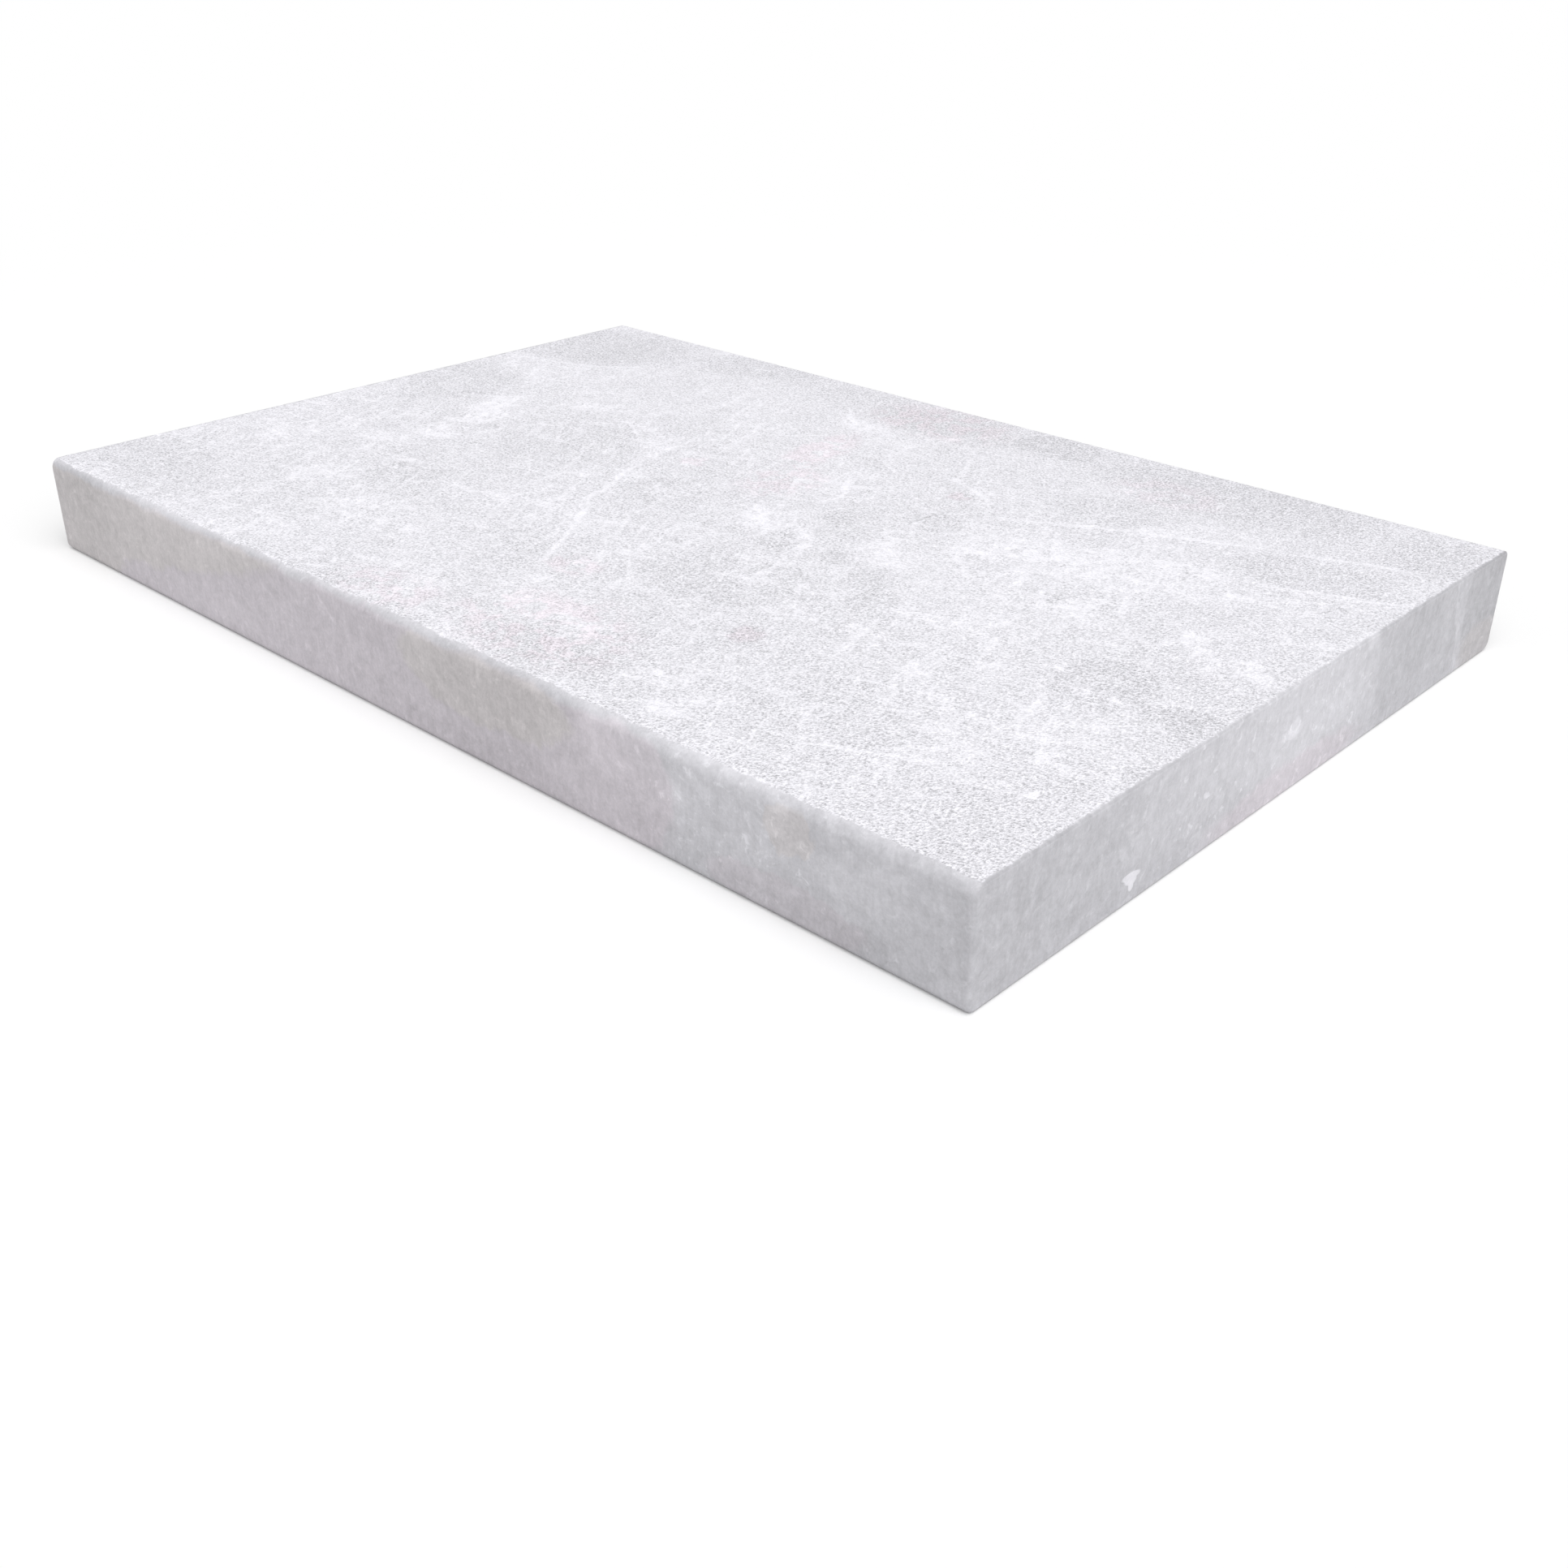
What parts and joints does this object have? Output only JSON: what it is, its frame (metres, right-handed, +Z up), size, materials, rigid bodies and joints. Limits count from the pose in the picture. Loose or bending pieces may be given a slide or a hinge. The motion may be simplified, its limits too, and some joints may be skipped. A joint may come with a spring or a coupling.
{
  "type": "wall coping stone",
  "caption": "Flat rectangular wall coping slab of pale grey marble with a sandblasted top, honed sides and a rounded front edge, laid on a wall top to shed rain.",
  "frame": {"origin": "middle of the underside, on the surface that the slab lies on", "axes": "+X along the slab, +Y from the eased front edge to the rear edge, +Z up out of the sandblasted top"},
  "size_m": [0.61, 0.406, 0.05],
  "materials": {
    "marble": "sandblasted top, honed sides"
  },
  "bodies": {
    "root": {"coping_stone": "marble"}
  },
  "joints": []
}
